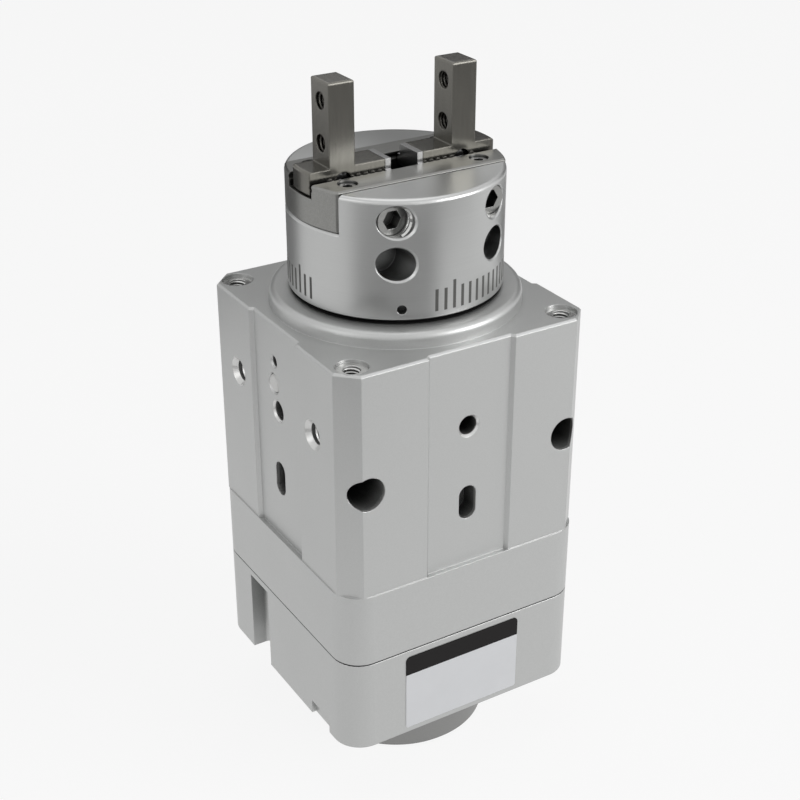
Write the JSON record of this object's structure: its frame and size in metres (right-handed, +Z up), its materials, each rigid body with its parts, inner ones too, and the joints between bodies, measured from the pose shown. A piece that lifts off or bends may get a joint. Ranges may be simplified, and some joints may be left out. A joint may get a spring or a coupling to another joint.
{
  "type": "pneumatic parallel gripper",
  "caption": "Compact square-bodied air gripper with a round head that rotates on a vane drive and parallel fingers that slide along a steel rail across the head.",
  "frame": {"origin": "centre of the round foot's underside, on the axis that the head turns about", "axes": "+Z up along the head's turning axis, towards the fingers; X along the fingers' travel at rest; -Y is the front side with the locating hole and slot, -X the left side with the threaded holes"},
  "size_m": [0.042, 0.042, 0.1084],
  "materials": {
    "housing_aluminium": "bead-blasted and clear anodised, satin",
    "drum_aluminium": "fine turned and clear anodised, satin",
    "rail_steel": "ground hardened steel",
    "finger_steel": "dark hardened steel, satin",
    "screw_steel": "stainless, satin",
    "bright_steel": "polished steel",
    "seal_rubber": "matt black nitrile rubber",
    "bush_bronze": "plain bronze",
    "plate_aluminium": "plain machined",
    "plug_resin": "white resin, pressed in",
    "label_film": "bare white label film, satin",
    "label_ink": "black printed band of the label",
    "engraved_lines": "dark filled engraving"
  },
  "bodies": {
    "housing": {"upper_housing": "housing_aluminium", "lower_housing": "housing_aluminium", "bottom_cover": "housing_aluminium", "cover_screws": "screw_steel", "housing_screws": "screw_steel", "passage_plug": "plug_resin", "chamber_cover": "plate_aluminium", "chamber_gasket": "seal_rubber", "vane_stopper": "seal_rubber", "shaft_bush": "bush_bronze", "shaft_seal": "seal_rubber", "upper_bearing_outer_ring": "bright_steel", "bearing_circlip": "bright_steel", "dust_seal": "seal_rubber", "air_seals": "seal_rubber", "lower_bearing_outer_ring": "bright_steel"},
    "head": {"gripper_head": "drum_aluminium", "guide_rail": "rail_steel", "guide_screws": "screw_steel", "head_plugs": "screw_steel", "lever_pins": "bright_steel", "rod_seal": "seal_rubber", "cylinder_tube": "drum_aluminium", "tube_seal": "seal_rubber", "upper_bearing_inner_ring": "bright_steel", "upper_bearing_balls": "bright_steel", "lower_bearing_inner_ring": "bright_steel", "lower_bearing_balls": "bright_steel", "vane_shaft": "bright_steel", "vane": "seal_rubber"},
    "piston_unit": {"piston": "drum_aluminium", "piston_seal": "seal_rubber", "piston_magnet": "bright_steel", "piston_rod": "bright_steel"},
    "left_crank": {"left_lever": "bright_steel"},
    "right_crank": {"right_lever": "bright_steel"},
    "left_jaw": {"left_finger": "finger_steel", "left_end_plate": "finger_steel", "left_finger_balls": "bright_steel"},
    "right_jaw": {"right_finger": "finger_steel", "right_end_plate": "finger_steel", "right_finger_balls": "bright_steel"}
  },
  "joints": [
    {"name": "head_turn", "type": "hinge", "parent": "housing", "child": "head", "pos_m": [0, 0, 0.0766], "axis": [0, 0, 1], "range_deg": [0, 180]},
    {"name": "piston_slide", "type": "slide", "parent": "head", "child": "piston_unit", "axis": [0, 0, -1], "range_m": [0, 0.0016]},
    {"name": "left_finger_slide", "type": "slide", "parent": "head", "child": "left_jaw", "axis": [1, 0, 0], "range_m": [0, 0.002]},
    {"name": "right_finger_slide", "type": "slide", "parent": "head", "child": "right_jaw", "axis": [-1, 0, 0], "range_m": [0, 0.002]},
    {"name": "left_lever_swing", "type": "hinge", "parent": "head", "child": "left_crank", "pos_m": [-0.0088, 0, 0.088], "axis": [0, 1, 0], "range_deg": [0, 17.98]},
    {"name": "right_lever_swing", "type": "hinge", "parent": "head", "child": "right_crank", "pos_m": [0.0088, 0, 0.088], "axis": [0, -1, 0], "range_deg": [0, 17.98]}
  ],
  "couplings": [
    {"joint": "left_finger_slide", "follows": "piston_slide", "ratio": 1.25},
    {"joint": "right_finger_slide", "follows": "piston_slide", "ratio": 1.25},
    {"joint": "left_lever_swing", "follows": "piston_slide", "rad_per_m": 196.12},
    {"joint": "right_lever_swing", "follows": "piston_slide", "rad_per_m": 196.12}
  ]
}
